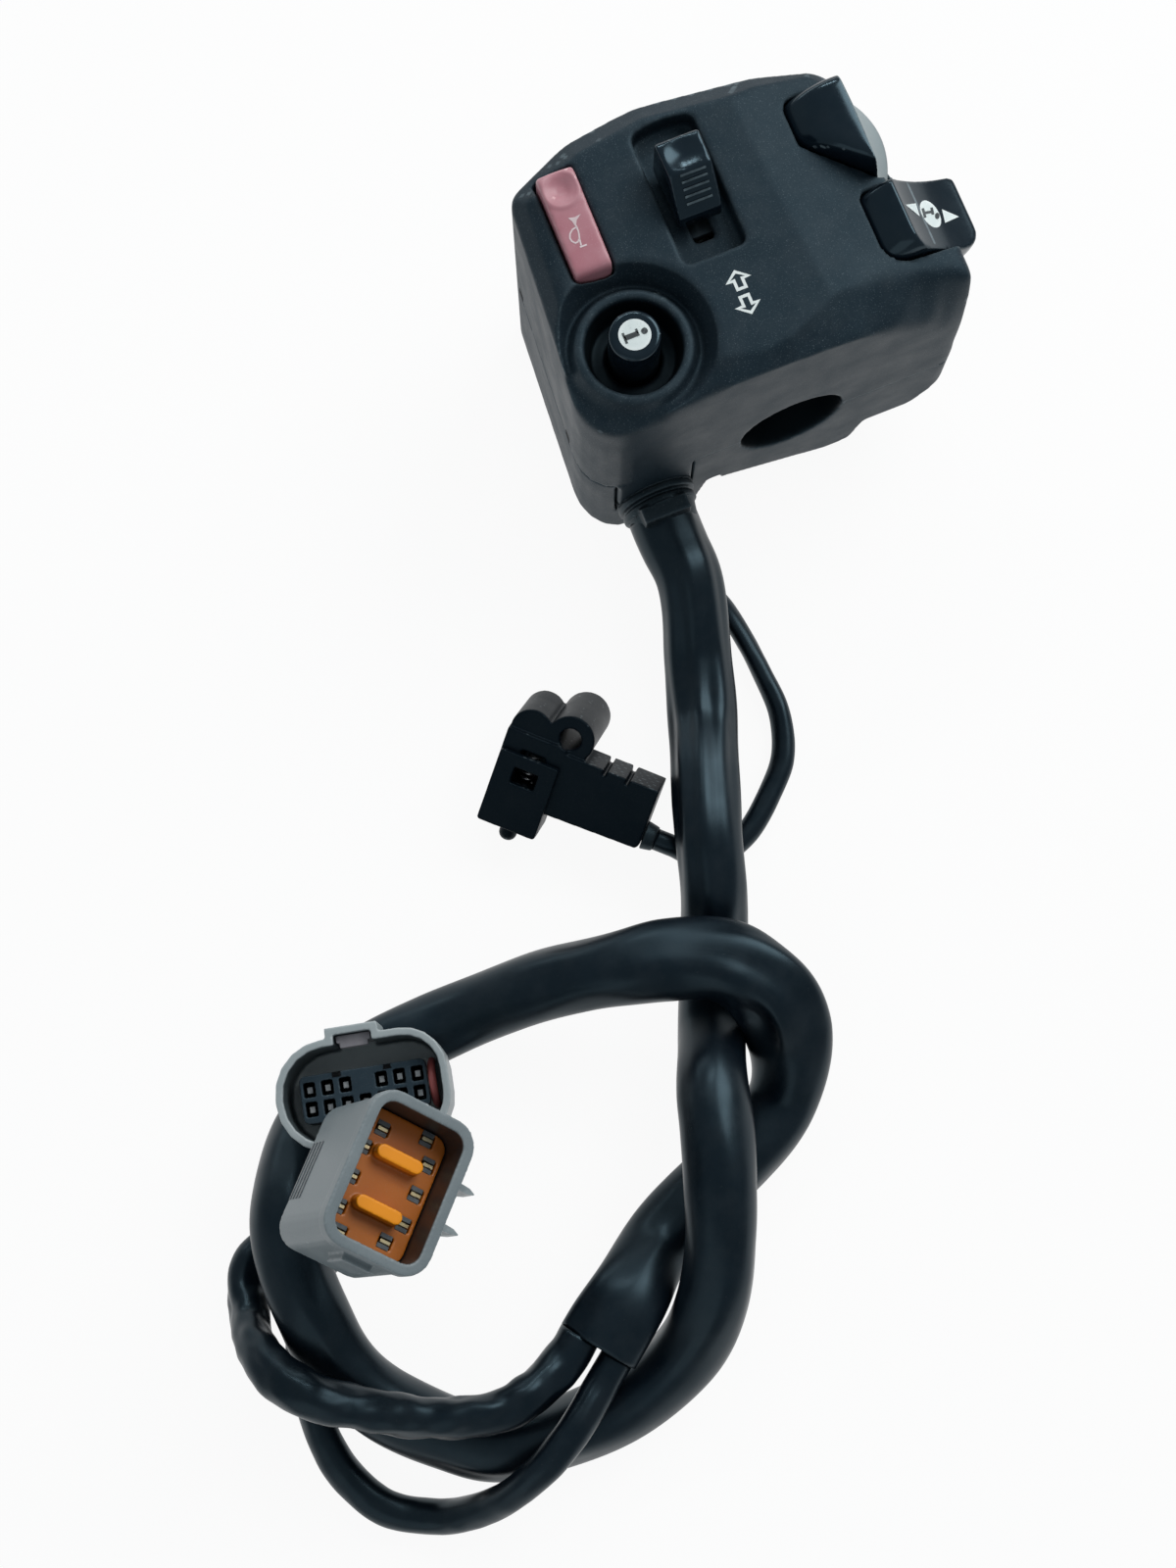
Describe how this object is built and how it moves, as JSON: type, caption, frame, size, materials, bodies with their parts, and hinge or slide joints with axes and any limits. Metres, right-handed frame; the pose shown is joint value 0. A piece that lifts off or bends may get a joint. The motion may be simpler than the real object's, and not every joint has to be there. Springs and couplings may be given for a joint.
{
  "type": "handlebar switch cluster",
  "caption": "Split plastic switch case for a handlebar with horn, turn, info and rocker switches, a sheathed loom, connectors and a lever switch.",
  "frame": {"origin": "on the handlebar's axis at the inboard end face of the case", "axes": "+X the rider's up, +Y outboard along the handlebar, +Z out of the switch face"},
  "size_m": [0.2154, 0.2401, 0.078],
  "materials": {
    "case_plastic": "fine moulded grain",
    "button_plastic": "smooth satin gloss",
    "horn_plastic": "smooth satin gloss",
    "board_green": "solder mask",
    "steel": "plated",
    "nylon": "natural",
    "switch_black": "moulded",
    "sheath": "satin sleeving",
    "gland_rubber": "moulded",
    "clutch_plastic": "moulded",
    "hood_grey": "moulded",
    "socket_black": "moulded",
    "tin": "tinned",
    "wire_red": "wire insulation",
    "plug_grey": "moulded",
    "plug_orange": "moulded",
    "brass": "stamped"
  },
  "bodies": {
    "housing": {"front_shell": "case_plastic", "rear_shell": "case_plastic", "case_screws": "steel", "circuit_board": "board_green", "board_screws": "steel", "wire_header": "nylon", "inner_wires": "sheath", "button_switches": "switch_black", "rocker_switches": "switch_black", "horn_pivot_pin": "steel", "horn_spring": "steel", "turn_tray": "switch_black", "turn_centring_springs": "steel", "info_spring": "steel", "rocker_pin": "steel", "beam_spring": "steel", "scroll_spring": "steel", "cable_gland": "gland_rubber", "main_loom": "sheath", "socket_branch": "sheath", "plug_branch": "sheath", "clutch_lead": "sheath", "clutch_switch_body": "clutch_plastic", "clutch_switch_cover": "clutch_plastic", "clutch_plunger_spring": "steel", "clutch_lead_boot": "gland_rubber", "socket_hood": "hood_grey", "socket_insert": "socket_black", "socket_contacts": "tin", "socket_latch": "hood_grey", "socket_wires": "wire_red", "plug_shell": "plug_grey", "plug_insert": "plug_orange", "plug_blades": "brass"},
    "horn": {"horn_button": "horn_plastic"},
    "turn_slider": {"turn_carriage": "nylon", "turn_cancel_spring": "steel"},
    "turn_button": {"turn_knob": "button_plastic"},
    "info": {"info_button": "button_plastic"},
    "beam": {"beam_rocker": "button_plastic"},
    "scroll": {"scroll_rocker": "button_plastic"},
    "plunger": {"clutch_plunger": "clutch_plastic"}
  },
  "joints": [
    {"name": "horn_press", "type": "hinge", "parent": "housing", "child": "horn", "pos_m": [-0.0318, 0.0315, 0.0355], "axis": [-1, 0, 0], "range_deg": [0, 6], "stiffness_Nm_per_rad": 0.4, "deforming": ["horn_spring"]},
    {"name": "turn_slide", "type": "slide", "parent": "housing", "child": "turn_slider", "axis": [0, 1, 0], "range_m": [-0.005, 0.005], "stiffness_N_per_m": 600, "deforming": ["turn_centring_springs"]},
    {"name": "turn_cancel", "type": "slide", "parent": "turn_slider", "child": "turn_button", "axis": [0, 0, -1], "range_m": [0, 0.0012], "stiffness_N_per_m": 2500, "deforming": ["turn_cancel_spring"]},
    {"name": "info_press", "type": "slide", "parent": "housing", "child": "info", "axis": [0, 0, -1], "range_m": [0, 0.002], "stiffness_N_per_m": 1500, "deforming": ["info_spring"]},
    {"name": "beam_rock", "type": "hinge", "parent": "housing", "child": "beam", "pos_m": [0.0245, 0.0388, 0.0323], "axis": [0, 1, 0], "range_deg": [0, 12]},
    {"name": "scroll_rock", "type": "hinge", "parent": "housing", "child": "scroll", "pos_m": [0.0305, 0.0186, 0.0306], "axis": [0, -1, 0], "range_deg": [-8, 8], "stiffness_Nm_per_rad": 0.3},
    {"name": "plunger_press", "type": "slide", "parent": "housing", "child": "plunger", "axis": [0.6016, 0.623, 0.5], "range_m": [0, 0.0025], "stiffness_N_per_m": 800, "deforming": ["clutch_plunger_spring"]}
  ]
}
